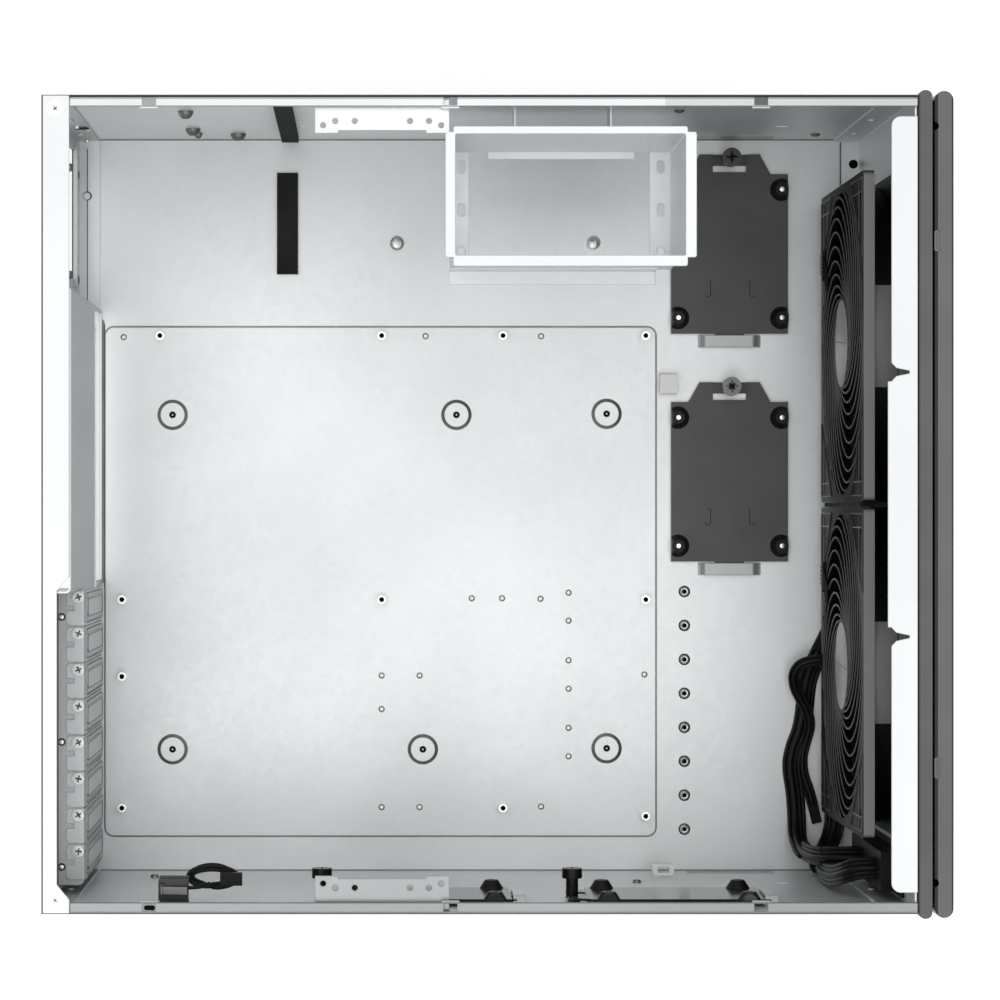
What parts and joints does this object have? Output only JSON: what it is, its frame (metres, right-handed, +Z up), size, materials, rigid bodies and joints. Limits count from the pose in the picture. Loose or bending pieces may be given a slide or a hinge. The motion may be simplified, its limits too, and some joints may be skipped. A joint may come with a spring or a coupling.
{
  "type": "rackmount server case",
  "caption": "Open-topped rackmount server case of folded sheet, with slot covers, drive trays and cage, two large front fans and a hinged mesh door.",
  "frame": {"origin": "middle of the footprint, on the underside", "axes": "+X to the front door, +Y to the power supply side, +Z up out of the open top"},
  "size_m": [0.4892, 0.445, 0.2232],
  "materials": {
    "zinc_sheet": "galvanised, faint spangle, satin",
    "bright_screw": "bright nickel plate",
    "black_tray": "fine matt powder coat",
    "thumbscrew": "plated, knurled",
    "fan_plastic": "satin",
    "front_plastic": "fine grained",
    "door_paint": "satin paint",
    "mesh_paint": "satin paint",
    "filter_net": "fine woven net",
    "foam": "closed-cell, matt",
    "light_lens": "clear, polished",
    "saddle_plastic": "natural nylon",
    "switch_plastic": "moulded",
    "switch_steel": "spring steel",
    "cord_sleeve": "soft PVC, satin",
    "plug_plastic": "moulded"
  },
  "bodies": {
    "case": {"board_standoffs": "bright_screw", "cage_bracket": "zinc_sheet", "cage_rail": "zinc_sheet", "chassis_base": "zinc_sheet", "corner_screws": "bright_screw", "drive_cage": "zinc_sheet", "fan_frame_1": "fan_plastic", "fan_frame_2": "fan_plastic", "fan_lead": "cord_sleeve", "fan_pad": "foam", "fan_plug": "plug_plastic", "fan_screws": "bright_screw", "floor_pad": "foam", "floor_saddle": "saddle_plastic", "floor_studs": "zinc_sheet", "floor_tray_1": "black_tray", "floor_tray_2": "black_tray", "front_bezel": "front_plastic", "front_panel": "zinc_sheet", "io_housing": "front_plastic", "panel_leads": "cord_sleeve", "panel_plug": "plug_plastic", "rear_panel": "zinc_sheet", "rivets": "zinc_sheet", "slot_cover_1": "zinc_sheet", "slot_cover_2": "zinc_sheet", "slot_cover_3": "zinc_sheet", "slot_cover_4": "zinc_sheet", "slot_cover_5": "zinc_sheet", "slot_cover_6": "zinc_sheet", "slot_cover_7": "zinc_sheet", "slot_cover_8": "zinc_sheet", "slot_screws": "bright_screw", "status_lights": "light_lens", "switch_body": "switch_plastic", "switch_bracket": "zinc_sheet", "switch_hank": "cord_sleeve", "switch_lead": "cord_sleeve", "switch_plug": "plug_plastic", "top_bracket_1": "zinc_sheet", "top_bracket_2": "zinc_sheet", "tray_thumbscrews": "thumbscrew", "usb_cable": "cord_sleeve", "usb_plug": "plug_plastic", "usb_ports": "bright_screw", "wall_pad": "foam", "wall_saddle": "saddle_plastic", "wall_tray_1": "black_tray", "wall_tray_2": "black_tray"},
    "door": {"door_panel": "door_paint", "door_mesh": "mesh_paint", "dust_filter": "filter_net", "door_clips": "bright_screw", "door_hinge_pins": "bright_screw"},
    "rotor_1": {"fan_rotor_1": "fan_plastic"},
    "rotor_2": {"fan_rotor_2": "fan_plastic"},
    "power_cap": {"power_button": "front_plastic"},
    "reset_cap": {"reset_button": "front_plastic"},
    "lid_lever": {"switch_lever": "switch_steel"}
  },
  "joints": [
    {"name": "door_hinge", "type": "hinge", "parent": "case", "child": "door", "pos_m": [0.2396, 0.2168, 0.11], "axis": [0, 0, 1], "range_deg": [0, 105]},
    {"name": "fan_1_spin", "type": "hinge", "parent": "case", "child": "rotor_1", "pos_m": [0.2117, 0.0915, 0.11], "axis": [1, 0, 0], "continuous": true},
    {"name": "fan_2_spin", "type": "hinge", "parent": "case", "child": "rotor_2", "pos_m": [0.2117, -0.0915, 0.11], "axis": [1, 0, 0], "continuous": true},
    {"name": "power_press", "type": "slide", "parent": "case", "child": "power_cap", "axis": [-1, 0, 0], "range_m": [0, 0.0015], "stiffness_N_per_m": 400, "springref_m": -0.001},
    {"name": "reset_press", "type": "slide", "parent": "case", "child": "reset_cap", "axis": [-1, 0, 0], "range_m": [0, 0.0015], "stiffness_N_per_m": 300, "springref_m": -0.001},
    {"name": "lid_switch_press", "type": "hinge", "parent": "case", "child": "lid_lever", "pos_m": [-0.1812, -0.2089, 0.2022], "axis": [0, 1, 0], "range_deg": [0, 11], "stiffness_Nm_per_rad": 0.02, "springref_deg": -5.73}
  ]
}
